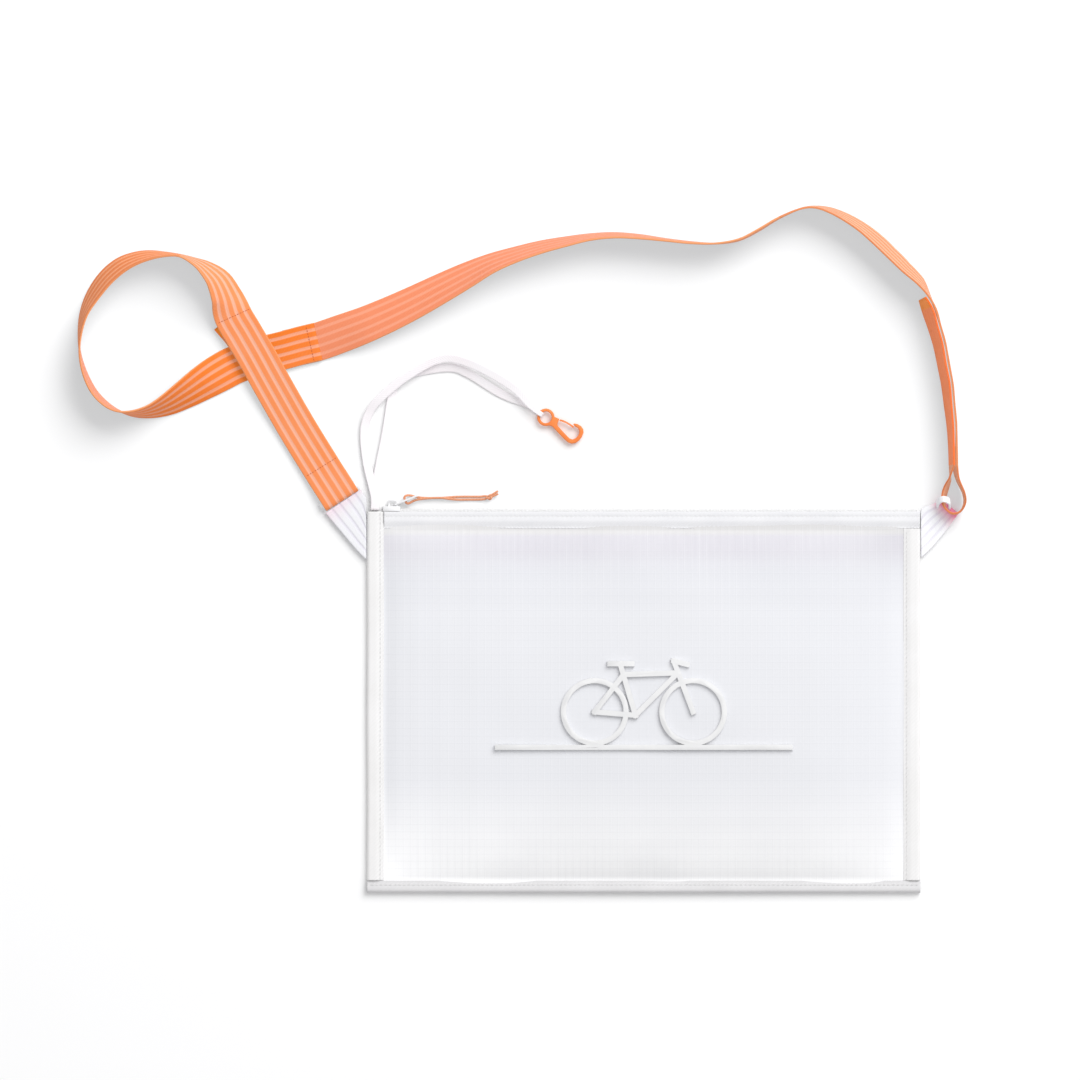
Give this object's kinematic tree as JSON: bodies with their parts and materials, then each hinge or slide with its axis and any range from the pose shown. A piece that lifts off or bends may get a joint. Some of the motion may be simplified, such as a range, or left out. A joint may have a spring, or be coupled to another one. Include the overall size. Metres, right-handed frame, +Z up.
{
  "type": "cycling musette bag",
  "caption": "Slim rectangular zipped musette lying flat, with a twisting shoulder strap of striped webbing joined at both upper corners and a tape lanyard that ends in a snap hook.",
  "frame": {"origin": "on the surface the bag lies on, under the middle of its back panel", "axes": "+X to the bag's right side as seen from above, +Y to its zipped top edge, +Z up"},
  "size_m": [0.5777, 0.4474, 0.0252],
  "materials": {
    "ripstop": "translucent ripstop with a fine grid",
    "binding_tape": "matt folded tape",
    "zip_tape": "matt woven tape",
    "zip_coil": "white nylon coil",
    "slider_finish": "white enamel",
    "cord": "braided cord",
    "white_webbing": "ribbed sheer webbing",
    "striped_webbing": "ribbed webbing with paler stripes",
    "narrow_tape": "flat narrow tape",
    "hook_plastic": "moulded plastic",
    "badge_rubber": "raised soft print"
  },
  "bodies": {
    "bag": {"front_panel": "ripstop", "back_panel": "ripstop", "left_binding": "binding_tape", "right_binding": "binding_tape", "bottom_hem": "binding_tape", "zip_tape_front": "zip_tape", "zip_tape_back": "zip_tape", "zip_coil": "zip_coil", "zip_slider": "slider_finish", "zip_pull_tab": "slider_finish", "zip_pull_cord_near": "cord", "zip_pull_cord_far": "cord", "zip_pull_knot": "cord", "left_strap_tab": "white_webbing", "right_strap_tab": "white_webbing", "strap_left_band": "striped_webbing", "strap_right_band": "striped_webbing", "lanyard_tape": "narrow_tape", "snap_hook": "hook_plastic", "front_emblem": "badge_rubber"},
    "gate": {"snap_hook_gate": "hook_plastic"}
  },
  "joints": [
    {"name": "gate_hinge", "type": "hinge", "parent": "bag", "child": "gate", "pos_m": [-0.05419, 0.1834, 0.0028], "axis": [0, 0, -1], "range_deg": [0, 22], "stiffness_Nm_per_rad": 0.02}
  ]
}
